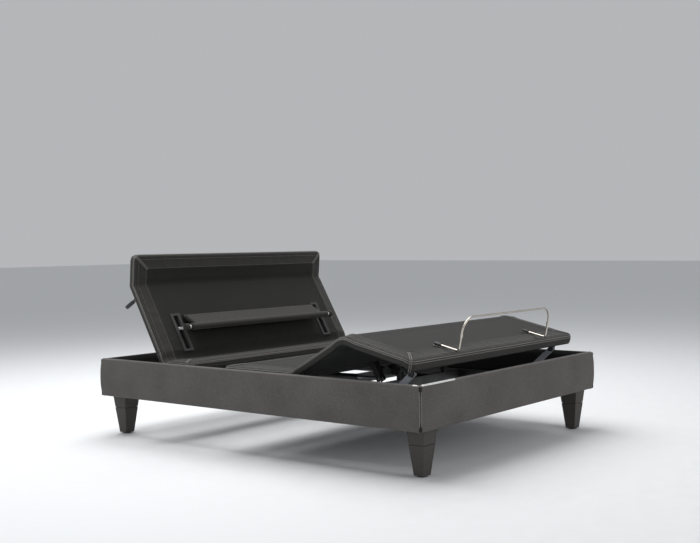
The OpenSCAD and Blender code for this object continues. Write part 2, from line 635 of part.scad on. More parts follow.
// Electrics -------------------------------------------------------------------------------
module control_box() color(black) translate([330, cross_foot_y + 20, frame_z])
    block([0, 0, 0], [150, 110, 45]);
module power_supply() color(black) translate([-480, cross_foot_y + 20, frame_z])
    block([0, 0, 0], [150, 70, 40]);

side_rail_left();
side_rail_right();
head_rail();
foot_rail();
rail_corner_trim();
leg_risers();
legs();
leg_glides();
leg_bolts();
corner_brackets();
frame_side_left();
frame_side_right();
frame_head_tube();
frame_foot_tube();
seat_cross_tubes();
lift_cross_tube();
link_cross_tube();
pivot_bearings();
support_posts();
slide_channels();
seat_board();
seat_pad();
seat_hinges();
control_box();
power_supply();
head_motor();
carriage_frame();
carriage_shoes();
head_motor_rod();
bridge_board();
bridge_pad();
bridge_hinges();
back_board();
back_pad();
back_hinges();
back_brackets();
rear_stops();
lumbar_slots();
lumbar_flap();
lumbar_bar();
lumbar_struts();
tilt_motor();
tilt_motor_rod();
pillow_board();
pillow_pad();
pillow_hinges();
lift_arms();
lift_rollers();
thigh_board();
thigh_pad();
thigh_crank();
thigh_hinges();
foot_board();
foot_pad();
foot_hinges();
foot_links();
foot_motor();
foot_motor_rod();
retainer_sockets();
retainer_bar();
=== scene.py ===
import json
import math

import bpy
import numpy as np
from mathutils import Euler, Matrix, Vector


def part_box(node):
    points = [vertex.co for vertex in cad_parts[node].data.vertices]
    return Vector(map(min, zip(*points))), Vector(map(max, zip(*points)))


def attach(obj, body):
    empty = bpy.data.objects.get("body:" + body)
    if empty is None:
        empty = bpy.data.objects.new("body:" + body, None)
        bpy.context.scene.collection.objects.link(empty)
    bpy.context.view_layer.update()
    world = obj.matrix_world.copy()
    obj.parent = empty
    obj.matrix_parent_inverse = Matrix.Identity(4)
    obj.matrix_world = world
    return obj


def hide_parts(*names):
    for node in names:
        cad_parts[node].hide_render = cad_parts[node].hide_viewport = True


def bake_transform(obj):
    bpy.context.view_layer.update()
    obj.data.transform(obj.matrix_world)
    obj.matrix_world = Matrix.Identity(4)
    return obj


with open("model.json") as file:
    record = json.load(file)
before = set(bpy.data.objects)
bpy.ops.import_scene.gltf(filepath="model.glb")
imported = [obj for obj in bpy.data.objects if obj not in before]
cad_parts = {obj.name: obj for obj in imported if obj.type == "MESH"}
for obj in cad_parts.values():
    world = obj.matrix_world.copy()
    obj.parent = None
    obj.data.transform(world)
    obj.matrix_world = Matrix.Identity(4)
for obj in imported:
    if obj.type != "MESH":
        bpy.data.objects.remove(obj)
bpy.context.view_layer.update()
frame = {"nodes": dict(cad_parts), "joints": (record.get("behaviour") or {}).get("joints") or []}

# An adjustable bed base: upholstered rails on tapered legs, four padded deck covers that bend
# over the section hinges, a lumbar support, a wire mattress retainer and a steel mechanism.
# Metres, +Z up, head end at +Y. Places come from the frame's boxes and joints.

MM = 0.001
JOINTS = {j["name"]: j for j in frame["joints"]}

# Measures taken from the frame

SEAT_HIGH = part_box("seat_pad")[1]
BOARD_LOW, BOARD_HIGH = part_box("seat_board")
BRIDGE_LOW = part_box("bridge_board")[0]
RAIL_LOW, RAIL_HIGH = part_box("side_rail_right")
FOOT_RAIL_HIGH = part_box("foot_rail")[1]
PAD_T = SEAT_HIGH.z - BOARD_HIGH.z
BOARD_T = BOARD_HIGH.z - BOARD_LOW.z
DECK_HALF = SEAT_HIGH.x


def joint_point(name):
    """The joint's axis where it crosses the bed's middle plane, as (y, z)."""
    return np.array(JOINTS[name]["pos_m"][1:])


def joint_angle(name):
    """How far the joint is raised in the modelled position, in radians."""
    return math.radians(round(-JOINTS[name]["range_deg"][0], 1))


def turned(v, angle):
    c, s = math.cos(angle), math.sin(angle)
    return np.array([v[0] * c - v[1] * s, v[0] * s + v[1] * c])


BACK_PIVOT = joint_point("head_lift")
PILLOW_PIVOT = joint_point("pillow_tilt")
THIGH_PIVOT = joint_point("thigh_lift")
KNEE_PIVOT = joint_point("knee_bend")
BACK_ANGLE = joint_angle("head_lift")
PILLOW_ANGLE = joint_angle("pillow_tilt")
THIGH_ANGLE = joint_angle("thigh_lift")
KNEE_SPARE = math.radians(0.1)          # the knee's range is this much longer than its bend
KNEE_ANGLE = joint_angle("knee_bend") - KNEE_SPARE


class Plane:
    """A section's own plane: a point (x, s, h) is s along it from the origin and h out of its face."""

    def __init__(self, origin, along, out):
        self.origin, self.along, self.out = np.array(origin), np.array(along), np.array(out)

    def place(self, points):
        p = np.asarray(points, float).reshape(-1, 3)
        yz = self.origin + p[:, 1:2] * self.along + p[:, 2:3] * self.out
        return np.column_stack([p[:, 0], yz])


def head_side(origin, angle):
    return Plane(origin, turned((1, 0), angle), turned((0, 1), angle))


def foot_side(origin, angle):
    return Plane(origin, turned((-1, 0), -angle), turned((0, 1), -angle))


ROOT_PLANE = foot_side(THIGH_PIVOT, 0)
THIGH_PLANE = foot_side(THIGH_PIVOT, THIGH_ANGLE)
FOOT_PLANE = foot_side(KNEE_PIVOT, THIGH_ANGLE - KNEE_ANGLE)
BRIDGE_PLANE = head_side(BACK_PIVOT, 0)
BACK_PLANE = head_side(BACK_PIVOT, BACK_ANGLE)


FOLD_STEPS = 60                         # rounds in which a point's share of the bend settles


class Fold(Plane):
    """A plane whose part beyond s = 0 is bent by angle about the pivot line at height pivot_h.
"""

    def __init__(self, plane, angle, reach, bodies, pivot_h=0.0):
        super().__init__(plane.origin, plane.along, plane.out)
        self.angle, self.reach, self.bodies, self.pivot_h = angle, reach, bodies, pivot_h
        pivot = self.origin + pivot_h * self.out
        beyond = math.cos(angle) * self.along + math.sin(angle) * self.out
        self.start, self.end = pivot - reach * self.along, pivot + reach * beyond

    def bent(self, p, share):
        a = share * self.angle
        s, h = p[:, 1], p[:, 2] - self.pivot_h
        along = s * np.cos(a) - h * np.sin(a)
        out = s * np.sin(a) + h * np.cos(a) + self.pivot_h
        return self.origin + along[:, None] * self.along + out[:, None] * self.out

    def place(self, points):
        p = np.asarray(points, float).reshape(-1, 3)
        step = self.end - self.start
        t = np.clip((p[:, 1] + self.reach) / (2 * self.reach), 0, 1)
        share = t * t * (3 - 2 * t)
        for _ in range(FOLD_STEPS):
            t = np.clip((self.bent(p, share) - self.start) @ step / (step @ step), 0, 1)
            share = 0.5 * share + 0.5 * t * t * (3 - 2 * t)
        return np.column_stack([p[:, 0], self.bent(p, share)])

    def attach(self, obj):
        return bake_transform(obj)


# Materials: every surface is procedural


def new_material(name):
    mat = bpy.data.materials.new(name)
    mat.use_nodes = True
    tree = mat.node_tree
    shader = next(n for n in tree.nodes if n.type == "BSDF_PRINCIPLED")
    return mat, tree, shader


def add(tree, kind, **values):
    """A node with its sockets set by name; a value that is a socket is linked."""
    node = tree.nodes.new(kind)
    for key, value in values.items():
        if hasattr(node, key) and key not in node.inputs:
            setattr(node, key, value)
            continue
        socket = node.inputs[int(key[1:])] if key[0] == "_" and key[1:].isdigit() else node.inputs[key]
        if isinstance(value, bpy.types.NodeSocket):
            tree.links.new(value, socket)
        else:
            socket.default_value = value
    return node


def maths(tree, operation, a, b=0.0):
    return add(tree, "ShaderNodeMath", operation=operation, _0=a, _1=b).outputs[0]


def ramp(tree, factor, stops):
    node = add(tree, "ShaderNodeValToRGB", Fac=factor)
    while len(node.color_ramp.elements) < len(stops):
        node.color_ramp.elements.new(0.5)
    for element, (position, colour) in zip(node.color_ramp.elements, stops):
        element.position = position
        element.color = (*colour, 1)
    return node.outputs[0]


def scaled(colour, k):
    return tuple(c * k for c in colour)


def surface(tree, shader, tone, gloss, height, strength, distance):
    bumps = add(tree, "ShaderNodeBump", Strength=strength, Distance=distance, Height=height)
    for name, output in (("Base Color", tone), ("Roughness", gloss), ("Normal", bumps.outputs[0])):
        tree.links.new(output, shader.inputs[name])


def fabric(name, colour, thread=0.0016, fleck=0.004, contrast=0.35, rough=0.9, sheen=0.25, bump=0.5,
           coords="flat"):
    """Woven cloth: a plain weave of threads, flecks of lighter and darker yarn, and soft fading."""
    mat, tree, shader = new_material(name)
    if coords == "flat":
        place = add(tree, "ShaderNodeAttribute", attribute_name="flat").outputs["Vector"]
    else:
        place = add(tree, "ShaderNodeTexCoord").outputs["Object"]
    axes = add(tree, "ShaderNodeSeparateXYZ", Vector=place)
    turns = 2 * math.pi / thread
    warp = maths(tree, "SINE", maths(tree, "MULTIPLY", axes.outputs[0], turns))
    along = maths(tree, "ADD", axes.outputs[1], axes.outputs[2])
    weft = maths(tree, "SINE", maths(tree, "MULTIPLY", along, turns))
    weave = maths(tree, "MULTIPLY", warp, weft)
    yarn = add(tree, "ShaderNodeTexNoise", Vector=place, Scale=1 / fleck, Detail=3.0, Roughness=0.7)
    worn = add(tree, "ShaderNodeTexNoise", Vector=place, Scale=5.0, Detail=2.0)
    mix = maths(tree, "ADD", maths(tree, "MULTIPLY", yarn.outputs[0], 0.75),
                maths(tree, "MULTIPLY", worn.outputs[0], 0.25))
    dark, light = scaled(colour, 1 - contrast), scaled(colour, 1 + contrast)
    tone = ramp(tree, mix, [(0.32, dark), (0.5, colour), (0.68, light)])
    gloss = ramp(tree, yarn.outputs[0], [(0.3, (rough + 0.06,) * 3), (0.7, (rough - 0.08,) * 3)])
    height = maths(tree, "ADD", maths(tree, "MULTIPLY", weave, 0.5), yarn.outputs[0])
    surface(tree, shader, tone, gloss, height, bump, 0.0006)
    shader.inputs["Sheen Weight"].default_value = sheen
    shader.inputs["Sheen Roughness"].default_value = 0.5
    shader.inputs["Specular IOR Level"].default_value = 0.25
    return mat


def painted(name, colour, rough=0.45, grain=0.002, metallic=0.0, bump=0.25, spread=0.12, wear=0.25):
    """Painted, plated or moulded surface: fine grain, rubbed patches and edge-to-edge tone change."""
    mat, tree, shader = new_material(name)
    place = add(tree, "ShaderNodeTexCoord").outputs["Object"]
    fine = add(tree, "ShaderNodeTexNoise", Vector=place, Scale=1 / grain, Detail=2.0)
    broad = add(tree, "ShaderNodeTexNoise", Vector=place, Scale=14.0, Detail=4.0, Roughness=0.6)
    tone = ramp(tree, broad.outputs[0],
                [(0.3, scaled(colour, 1 - wear)), (0.55, colour), (0.75, scaled(colour, 1 + wear))])
    gloss = ramp(tree, broad.outputs[0], [(0.3, (rough - spread,) * 3), (0.7, (rough + spread,) * 3)])
    surface(tree, shader, tone, gloss, fine.outputs[0], bump, 0.0003)
    shader.inputs["Metallic"].default_value = metallic
    return mat


RAIL_CLOTH = fabric("rail_cloth", (0.098, 0.090, 0.085), fleck=0.0035, contrast=0.42, sheen=0.08)
BAND_CLOTH = fabric("band_cloth", (0.034, 0.0322, 0.030), thread=0.0012, fleck=0.0025, contrast=0.22,
                    sheen=0.1)
FIELD_CLOTH = fabric("field_cloth", (0.0185, 0.0178, 0.0162), thread=0.0018, fleck=0.003, contrast=0.2,
                     sheen=0.05)
# black lining cloth under the covers and inside the rails; also the painted shade in the mitre gaps and
# the painted shadow marks on the foot band
DUST_CLOTH_AND_SHADE = fabric("dust_cloth_and_painted_shade", (0.010, 0.010, 0.010), thread=0.0025, contrast=0.3, sheen=0.05)
PIPING_CLOTH = fabric("piping_cloth", (0.17, 0.163, 0.153), thread=0.001, contrast=0.2, sheen=0.3)
DARK_PIPING = fabric("dark_piping", (0.055, 0.053, 0.05), thread=0.001, contrast=0.2)
THREAD = fabric("stitch_thread", (0.16, 0.155, 0.145), thread=0.0008, contrast=0.15, rough=0.7)
LEG_CLOTH = fabric("leg_finish", (0.06, 0.0555, 0.052), thread=0.0014, fleck=0.003, contrast=0.2,
                   rough=0.75, sheen=0.05, bump=0.3, coords="object")
FRAME_PAINT = painted("frame_paint", (0.02, 0.02, 0.021), rough=0.42, bump=0.35)
ZINC = painted("zinc_steel", (0.42, 0.43, 0.44), rough=0.38, metallic=1.0, spread=0.1)
CHROME = painted("warm_chrome", (0.58, 0.53, 0.47), rough=0.2, metallic=1.0, bump=0.05, spread=0.06,
                 wear=0.1)
BLACK_PLASTIC = painted("black_plastic", (0.015, 0.015, 0.016), rough=0.5, grain=0.0012, bump=0.5)
BEZEL_PLASTIC = painted("bezel_plastic", (0.04, 0.039, 0.037), rough=0.45, grain=0.0012)
PALE_PLASTIC = painted("pale_plastic", (0.55, 0.55, 0.52), rough=0.45, wear=0.1)
LINK_PAINT = painted("link_paint", (0.36, 0.38, 0.42), rough=0.35, wear=0.15)
# bright metal of the lumbar struts; also the painted highlight strip on the foot rail's corner
TRIM_AND_HIGHLIGHT = painted("bright_trim", (0.8, 0.8, 0.78), rough=0.3, metallic=0.35, wear=0.08)

# Mesh helpers


def mesh_object(name, points, faces, materials, material_of=None, flat=None):
    mesh = bpy.data.meshes.new(name)
    mesh.from_pydata([tuple(p) for p in points], [], [tuple(f) for f in faces])
    for material in materials:
        mesh.materials.append(material)
    if material_of is not None:
        mesh.polygons.foreach_set("material_index", np.asarray(material_of, np.int32))
    mesh.polygons.foreach_set("use_smooth", [True] * len(mesh.polygons))
    if flat is not None:
        mark_flat(mesh, flat)
    mesh.update()
    obj = bpy.data.objects.new(name, mesh)
    bpy.context.scene.collection.objects.link(obj)
    return obj


def co_of(obj):
    co = np.zeros(len(obj.data.vertices) * 3)
    obj.data.vertices.foreach_get("co", co)
    return co.reshape(-1, 3)


def set_co(obj, co):
    obj.data.vertices.foreach_set("co", np.asarray(co, np.float32).ravel())
    obj.data.update()


def ring_faces(rings, sides, closed=False):
    """Faces between rings of points, with a cap on both ends unless the rings close on themselves."""
    faces = []
    for i in range(rings if closed else rings - 1):
        j = (i + 1) % rings
        for k in range(sides):
            m = (k + 1) % sides
            faces.append((i * sides + k, i * sides + m, j * sides + m, j * sides + k))
    if not closed:
        faces.append(tuple(range(sides - 1, -1, -1)))
        faces.append(tuple((rings - 1) * sides + k for k in range(sides)))
    return faces


def mark_flat(mesh, points):
    """Keeps the points' unbent places, which the cloth's weave follows."""
    layer = mesh.attributes.new("flat", "FLOAT_VECTOR", "POINT")
    layer.data.foreach_set("vector", np.asarray(points, np.float32).ravel())


STEEP = 0.95                            # a path direction this near an axis counts as along it


class Parts:
    """Points and faces of a piece made of several closed bodies."""

    def __init__(self):
        self.points, self.faces, self.flat, self.slots = [], [], [], []

    def add(self, points, faces, flat=None, slot=0):
        base = len(self.points)
        self.points.extend(map(tuple, points))
        self.faces.extend(tuple(base + i for i in f) for f in faces)
        self.flat.extend(map(tuple, points if flat is None else flat))
        self.slots.extend([slot] * len(faces))

    def tube(self, path, radius, sides=8, closed=False, slot=0, flatten=1.0):
        """A round bar along a path, with capped ends. flatten squeezes it across the up direction."""
        path = np.asarray(path, float)
        n = len(path)
        if closed:
            tangent = np.roll(path, -1, 0) - np.roll(path, 1, 0)
        else:
            tangent = np.gradient(path, axis=0)
        tangent /= np.linalg.norm(tangent, axis=1)[:, None] + 1e-12
        steepest = np.abs(tangent).max(axis=0)
        up = np.array([0.0, 0.0, 1.0])
        if steepest[2] > STEEP:
            up = np.array([0.0, 1.0, 0.0] if steepest[1] < STEEP else [1.0, 0.0, 0.0])
        side = np.cross(tangent, up)
        side /= np.linalg.norm(side, axis=1)[:, None] + 1e-12
        rise = np.cross(side, tangent)
        radii = np.broadcast_to(radius, n)
        points, flat = [], []
        run = np.concatenate([[0], np.cumsum(np.linalg.norm(np.diff(path, axis=0), axis=1))])
        for i in range(n):
            for k in range(sides):
                a = 2 * math.pi * k / sides
                outward = math.cos(a) * side[i] + flatten * math.sin(a) * rise[i]
                points.append(path[i] + radii[i] * outward)
                flat.append((a * radii[i], run[i], 0))
        self.add(points, ring_faces(n, sides, closed), flat, slot)

    def turned(self, centre, axis, profile, sides=32, slot=0):
        """A turned body: profile is a list of (distance along the axis, radius), both ends closed."""
        axis = Vector(axis).normalized()
        u = np.array(axis.orthogonal().normalized())
        v = np.cross(np.array(axis), u)
        points, flat = [], []
        for along, radius in profile:
            for k in range(sides):
                a = 2 * math.pi * k / sides
                points.append(np.array(centre) + along * np.array(axis)
                              + radius * (math.cos(a) * u + math.sin(a) * v))
                flat.append((a * radius, along, 0))
        self.add(points, ring_faces(len(profile), sides), flat, slot)

    def piece(self, name, materials, place=None):
        points = place(self.points) if place else self.points
        return mesh_object(name, points, self.faces, materials, self.slots, self.flat)


def quarter(steps):
    """Sine and cosine at even steps of a quarter turn."""
    return [(math.sin(a), math.cos(a)) for a in np.linspace(0, math.pi / 2, steps + 1)]


def eased(t):
    t = np.clip(t, 0, 1)
    return t * t * (3 - 2 * t)


# Deck covers

COVER_HALF = DECK_HALF + 3 * MM         # the cover wraps the board's edges
CORNER_R = 34 * MM
BAND_W = 78 * MM                        # border band round a section
FIELD_H = PAD_T + 1.5 * MM
BAND_H = PAD_T + 2.5 * MM
RIM_H = PAD_T - 5 * MM
UNDER_H = -BOARD_T - 5 * MM
RIM_PIPING = (0.85, 1.2)                # places of the piping down the rounded edge, in radians
REACH_POWER = 0.85                      # below 1, the rounded edge is fuller than a circle
LEVEL_POWER = 0.9
FACE_POWER = 1.7                        # how soon the face is level, inside the rounded edge
ROLL_W = 46 * MM                        # width of the thicker padding along a free end
ROLL_RISE = 0.75                        # share of that width in which the padding thins out
GROOVE = 2.2 * MM                       # seam between the band and the field
GROOVE_W = 4 * MM
FILL_CAP = 3.5 * MM                     # how far the filling can swell the cloth
STEP = 15 * MM                          # the grid's widest step
SIDE_STEPS, END_STEPS, ARC_STEPS = 40, 60, 8
RIM_STEPS = 8
PIT_H = 1.5 * MM                        # height of a slot's floor over the board
PIT_WALL = 1.5 * MM
HELD_SEAM, HELD_END, HELD_PIT = 5 * MM, 3 * MM, 12 * MM
HELD_SHARE = 0.2                        # share of the band's width that lies still at the edge
PIPING_R, MITRE_PIPING_R = 1.8 * MM, 2 * MM
MITRE_HALF = 4 * MM                     # from a mitre's line to the middle of its piping
MITRE_START = 6 * MM                    # where a mitre's line starts inside the corner
MITRE_LIFT = 0.2 * MM
STITCH_INSETS = (24 * MM, BAND_W - 9 * MM)
STITCH_PITCH, STITCH_L, STITCH_R = 7 * MM, 4.6 * MM, 0.7 * MM
STITCH_LIFT, STITCH_CROWN = 0.35 * MM, 0.3 * MM


def rim_reach(angle):
    """How far the rounded edge stands out, as a share, at an angle down from the face."""
    return math.sin(angle) ** REACH_POWER


def rim_level(angle):
    """Height of the rounded edge between the underside and the face, as a share."""
    return 0.5 + 0.5 * math.copysign(abs(math.cos(angle)) ** LEVEL_POWER, math.cos(angle))


class Cover:
    """A padded cover round a board: flat coordinates x across, s along, h out of the board's face.

    It has one free end with rounded corners and a border band, and one end that is sewn on."""

    def __init__(self, name, fold, s_sewn, s_free, rim, roll=0.0, band_end=BAND_W, pits=()):
        """rim is how far the rounded edge stands out of the face's outline, and roll how far the
        padding hangs below the board at the free end."""
        self.name, self.fold, self.rim, self.roll = name, fold, rim, roll
        self.s_sewn, self.s_free = s_sewn, s_free
        self.inward = 1 if s_sewn > s_free else -1
        self.band_end, self.pits = band_end, pits

    def edge(self, x, s):
        """Distance to the side edge and to the free end."""
        return COVER_HALF - np.abs(x), np.abs(s - self.s_free)

    def in_pit(self, x, s, grow=0.0):
        inside = np.zeros(np.shape(x), bool)
        for x0, x1, s0, s1 in self.pits:
            across = (np.abs(x) > x0 - grow) & (np.abs(x) < x1 + grow)
            inside |= across & (s > s0 - grow) & (s < s1 + grow)
        return inside

    def depth(self, x, s):
        """Distance into the band as a share of its width: 1 at the seam with the field."""
        side, end = self.edge(x, s)
        return np.minimum(side / BAND_W, end / self.band_end)

    def top(self, x, s):
        """Height of the upper face."""
        x, s = np.asarray(x, float), np.asarray(s, float)
        share = self.depth(x, s)
        t = np.clip((share - self.rim / BAND_W) / (1 - self.rim / BAND_W), 0, 1)
        h = RIM_H + (BAND_H - RIM_H) * (1 - (1 - t) ** FACE_POWER)
        h = np.where(share > 1, FIELD_H, h)
        h = h - GROOVE * np.exp(-((share - 1) * BAND_W / GROOVE_W) ** 2)
        return np.where(self.in_pit(x, s), PIT_H, h)

    def under(self, s):
        """Height of the underside, which hangs lower along the free end."""
        past = (ROLL_W - np.abs(s - self.s_free)) / (ROLL_RISE * ROLL_W)
        return UNDER_H - self.roll * eased(past)

    def lines(self):
        """The grid's lines across and along: close together at the seams, pits and corners."""
        corner = CORNER_R - self.rim
        near = [0, 0.12, 0.3, 0.52, 0.76, 1.0]
        seam = [-8 * MM, -4 * MM, 0, 4 * MM, 8 * MM]
        half = COVER_HALF - self.rim
        across = [half - corner * k for k in near] + [COVER_HALF - BAND_W + d for d in seam]
        along = [self.rim + corner * k for k in near] + [self.band_end + d for d in seam]
        along.append(abs(self.s_sewn - self.s_free))
        for x0, x1, s0, s1 in self.pits:
            across += [x0 - PIT_WALL, x0, x1, x1 + PIT_WALL]
            along += [abs(s - self.s_free) for s in (s0 - PIT_WALL, s0, s1, s1 + PIT_WALL)]
        across = filled([0.0] + across)
        xs = np.array([-x for x in reversed(across) if x > 0] + across)
        ss = self.s_free + self.inward * np.array(filled(along))
        return xs, ss

    def build(self):
        xs, ss = self.lines()
        nx, ns = len(xs), len(ss)
        x, s = np.meshgrid(xs, ss)
        corner = CORNER_R - self.rim
        u = (np.abs(x) - (COVER_HALF - self.rim - corner)) / corner
        v = (CORNER_R - np.abs(s - self.s_free)) / corner
        round_it = (u > 0) & (v > 0)
        ur = np.where(round_it, u * np.sqrt(np.clip(1 - v * v / 2, 0, 1)), u)
        vr = np.where(round_it, v * np.sqrt(np.clip(1 - u * u / 2, 0, 1)), v)
        px = np.where(round_it, np.sign(x) * (COVER_HALF - self.rim - corner + ur * corner), x)
        ps = np.where(round_it, self.s_free + self.inward * (CORNER_R - vr * corner), s)
        top = self.top(px, ps)
        under = self.under(ps)

        grid = np.arange(ns * nx).reshape(ns, nx)
        points = np.concatenate([np.stack([px, ps, top], -1).reshape(-1, 3),
                                 np.stack([px, ps, under], -1).reshape(-1, 3)])
        faces, slots = [], []
        for i in range(ns - 1):
            for j in range(nx - 1):
                quad = [grid[i, j], grid[i, j + 1], grid[i + 1, j + 1], grid[i + 1, j]]
                if self.inward < 0:
                    quad.reverse()
                mx, ms = px[i:i + 2, j:j + 2].mean(), ps[i:i + 2, j:j + 2].mean()
                slot = 0 if self.depth(mx, ms) < 1 else 1
                if self.in_pit(np.array(mx), np.array(ms), PIT_WALL):
                    slot = 2
                faces += [quad, [k + grid.size for k in reversed(quad)]]
                slots += [slot, 2]
        # The loop of boundary points, from the sewn end along one side, the free end and back
        loop = [(i, 0) for i in range(ns - 1, 0, -1)]
        loop += [(0, j) for j in range(nx - 1)]
        loop += [(i, nx - 1) for i in range(ns - 1)]
        loop += [(ns - 1, j) for j in range(nx - 1, 0, -1)]
        outs = []
        for i, j in loop:
            if i == ns - 1 and 0 < j < nx - 1:
                outs.append((0.0, 0.0))
            elif round_it[i, j]:
                across = np.sign(x[i, j]) * ur[i, j]
                outs.append((across, -self.inward * vr[i, j]))
            elif i == 0:
                outs.append((0.0, -self.inward))
            else:
                outs.append((np.sign(x[i, j]), 0.0))
        outs = np.array(outs)
        norm = np.linalg.norm(outs, axis=1)
        outs[norm > 0] /= norm[norm > 0][:, None]
        a = np.array([grid[i, j] for i, j in loop])
        b = a + grid.size
        rings, rim_points = [a], []
        base = len(points)
        for k in range(1, RIM_STEPS):
            angle = math.pi * k / RIM_STEPS
            reach, level = self.rim * rim_reach(angle), rim_level(angle)
            h = points[b, 2] + (points[a, 2] - points[b, 2]) * level
            rim_points.append(np.column_stack([points[a, 0] + reach * outs[:, 0],
                                               points[a, 1] + reach * outs[:, 1], h]))
            rings.append(base + (k - 1) * len(loop) + np.arange(len(loop)))
        rings.append(b)
        points = np.concatenate([points] + rim_points)
        m = len(loop)
        for k in range(RIM_STEPS):
            for q in range(m):
                r = (q + 1) % m
                quad = [rings[k][q], rings[k + 1][q], rings[k + 1][r], rings[k][r]]
                if self.inward > 0:
                    quad.reverse()
                faces.append(quad)
                sewn = norm[q] == 0 or norm[r] == 0
                slots.append(2 if sewn or k >= RIM_STEPS - 2 else 0)
        self.free_top = grid.size
        obj = mesh_object(self.name, points, faces, [BAND_CLOTH, FIELD_CLOTH, DUST_CLOTH_AND_SHADE], slots)
        flip_if_inside_out(obj)
        return obj

    def held(self, co):
        """Points that the filling can't move: the underside, the edge, the seams and the pits."""
        x, s = co[:, 0], co[:, 1]
        share = self.depth(x, s)
        held = np.ones(len(co), bool)
        held[:self.free_top] = False
        held |= np.abs(share - 1) * BAND_W < HELD_SEAM
        held |= share < HELD_SHARE
        held |= np.abs(s - self.s_sewn) < HELD_END
        held |= self.in_pit(x, s, HELD_PIT)
        return held

    def seam_path(self, inset, lift=0.0):
        """A line at one distance inside the edge, from the sewn end round the free end and back."""
        half = COVER_HALF - inset
        radius = max(CORNER_R - inset, 0.5 * MM)
        end = self.s_free + self.inward * inset
        sides = np.linspace(self.s_sewn, end + self.inward * radius, SIDE_STEPS)
        left = [(-half, s) for s in sides]
        for sine, cosine in quarter(ARC_STEPS)[1:-1]:
            left.append((-half + radius * (1 - cosine), end + self.inward * radius * (1 - sine)))
        across = [(x, end) for x in np.linspace(-half + radius, half - radius, END_STEPS)]
        right = [(-x, s) for x, s in reversed(left)]
        return self.on_top(left + across + right, lift)

    def edge_path(self, angle):
        """A line along the rounded edge, at an angle down from the face."""
        path = self.seam_path(self.rim * (1 - rim_reach(angle)))
        low = self.under(path[:, 1])
        path[:, 2] = low + (RIM_H - low) * rim_level(angle)
        return path

    def on_top(self, path, lift=0.0):
        path = np.asarray(path, float)
        return np.column_stack([path, self.top(path[:, 0], path[:, 1]) + lift])

    def mitre_path(self, side, shift):
        """A line from the outer corner to the band's inner corner, moved sideways by shift."""
        outer = np.array([COVER_HALF - self.rim - MITRE_START, self.rim + MITRE_START])
        inner = np.array([COVER_HALF - BAND_W, self.band_end])
        across = (inner - outer) / np.linalg.norm(inner - outer)
        normal = np.array([across[1], -across[0]]) * shift
        path = [outer + normal + (inner - outer) * k for k in np.linspace(0, 1, 14)]
        line = [(side * x, self.s_free + self.inward * t) for x, t in path]
        return np.concatenate([self.rim_path(side, shift)[::-1], self.on_top(line, MITRE_LIFT)])

    def rim_path(self, side, shift):
        """The same line, on from the face round the corner's rounded edge to its underside."""
        corner = CORNER_R - self.rim
        inside = 0.55 * CORNER_R
        high = self.top(COVER_HALF - inside, self.s_free + self.inward * inside)
        low = UNDER_H - self.roll
        path = []
        for angle in np.linspace(0.3, math.pi - 0.5, 12):
            reach, level = corner + self.rim * rim_reach(angle), rim_level(angle)
            x = COVER_HALF - CORNER_R + (reach + shift) * math.sqrt(0.5)
            back = CORNER_R - (reach - shift) * math.sqrt(0.5)
            path.append((side * x, self.s_free + self.inward * back, low + (high - low) * level))
        return np.array(path)

    def finish(self, obj, replaced):
        """Fills the pad, bends it over its hinge and hides the CAD pieces that it replaces."""
        flat = co_of(obj)
        fill(obj, self.held(flat), FILL_CAP)
        flat = co_of(obj)
        crease_end(obj, flat, self.s_sewn)
        mark_flat(obj.data, flat)
        subdivide(obj)
        set_co(obj, self.fold.place(co_of(obj)))
        self.fold.attach(obj)
        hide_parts(*replaced)

    def trim(self):
        """Piping and stitching, as pieces that bend with the cover."""
        piping = Parts()
        for angle in RIM_PIPING:
            piping.tube(self.edge_path(angle), PIPING_R)
        for side in (-1, 1):
            for shift in (-MITRE_HALF, MITRE_HALF):
                piping.tube(self.mitre_path(side, shift), MITRE_PIPING_R)
        stitches = Parts()
        for inset in STITCH_INSETS:
            for a, b in dashes(self.seam_path(inset, STITCH_LIFT), STITCH_PITCH, STITCH_L):
                stitches.tube([a, (a + b) / 2 + (0, 0, STITCH_CROWN), b], STITCH_R, sides=5)
        for parts, tag, material in ((piping, "piping", PIPING_CLOTH), (stitches, "stitching", THREAD)):
            obj = parts.piece(f"{self.name}_{tag}", [material], self.fold.place)
            self.fold.attach(obj)


def filled(places):
    """The places in order, without near doubles, and with more between them at STEP or less."""
    kept = []
    for p in sorted(places):
        if not kept or p - kept[-1] > 0.9 * MM:
            kept.append(p)
    out = [kept[0]]
    for a, b in zip(kept, kept[1:]):
        n = max(1, math.ceil((b - a) / STEP))
        out += [a + (b - a) * k / n for k in range(1, n + 1)]
    return out


def dashes(path, pitch, length):
    """Short straight pieces along a path."""
    path = np.asarray(path)
    run = np.concatenate([[0], np.cumsum(np.linalg.norm(np.diff(path, axis=0), axis=1))])
    starts = np.arange(0, run[-1] - length, pitch)
    ends = [np.column_stack([np.interp(d, run, path[:, k]) for k in range(3)])
            for d in (starts, starts + length)]
    return list(zip(*ends))


def flip_if_inside_out(obj):
    """Turns every face round where the mesh encloses a negative volume."""
    co = co_of(obj)
    volume = sum(np.dot(co[p.vertices[0]], np.cross(co[p.vertices[1]], co[p.vertices[2]])) +
                 np.dot(co[p.vertices[0]], np.cross(co[p.vertices[2]], co[p.vertices[-1]]))
                 for p in obj.data.polygons)
    if volume < 0:
        obj.data.flip_normals()


